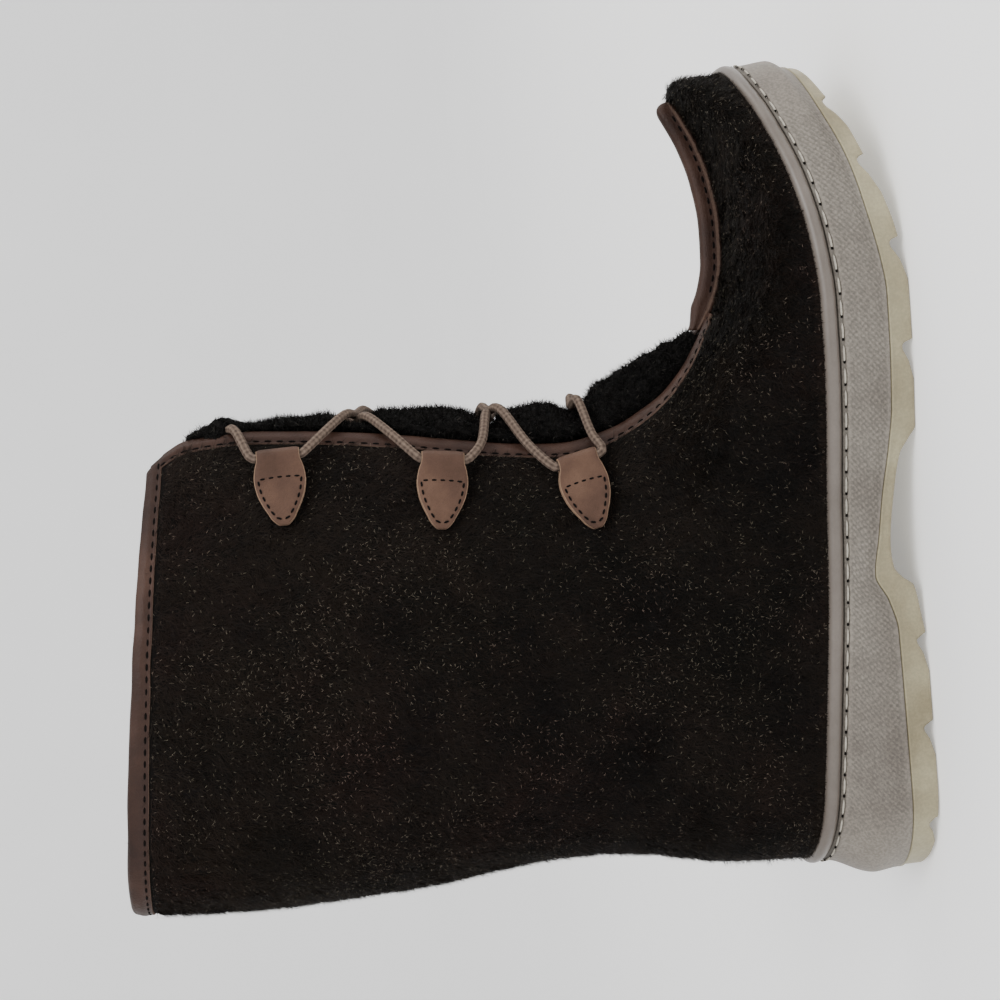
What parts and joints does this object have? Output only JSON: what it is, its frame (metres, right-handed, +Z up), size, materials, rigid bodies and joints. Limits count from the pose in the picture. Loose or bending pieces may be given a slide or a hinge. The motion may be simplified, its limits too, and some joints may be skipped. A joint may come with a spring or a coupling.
{
  "type": "mukluk boot",
  "caption": "Right-foot mukluk boot: furry suede upper open over a pile tongue, leather-bound edges, cord laced through leather tabs, on a rubber cup sole.",
  "frame": {"origin": "bottom centre of the bounding box, on the ground under the boot", "axes": "+X from the heel to the toe, +Y to the inner side of the foot, +Z up"},
  "size_m": [0.289, 0.1082, 0.277],
  "materials": {
    "rubber_sole": "pale yellowish grey lugged rubber",
    "rubber_wall": "greige knurled rubber side wall",
    "rubber_welt": "greige smooth rubber bead, half gloss",
    "suede_fur": "very dark brown short-haired suede",
    "pile": "black sheepskin pile",
    "binding_leather": "brown smooth leather band with a pale cut edge",
    "tab_leather": "taupe brown leather",
    "lace_cord": "taupe round braided cord"
  },
  "bodies": {
    "root": {"outsole": "rubber_sole", "midsole": "rubber_wall", "welt": "rubber_welt", "insole": "pile", "upper": "suede_fur", "tongue": "pile", "topline_binding": "binding_leather", "vamp_seam_binding": "binding_leather", "front_binding_lateral": "binding_leather", "lace_tab_lateral_1": "tab_leather", "lace_tab_lateral_2": "tab_leather", "lace_tab_lateral_3": "tab_leather", "front_binding_medial": "binding_leather", "lace_tab_medial_1": "tab_leather", "lace_tab_medial_2": "tab_leather", "lace_tab_medial_3": "tab_leather", "lace_bottom_bar": "lace_cord", "lace_crossing_lower": "lace_cord", "lace_crossing_upper": "lace_cord", "lace_top_bar": "lace_cord"}
  },
  "joints": []
}
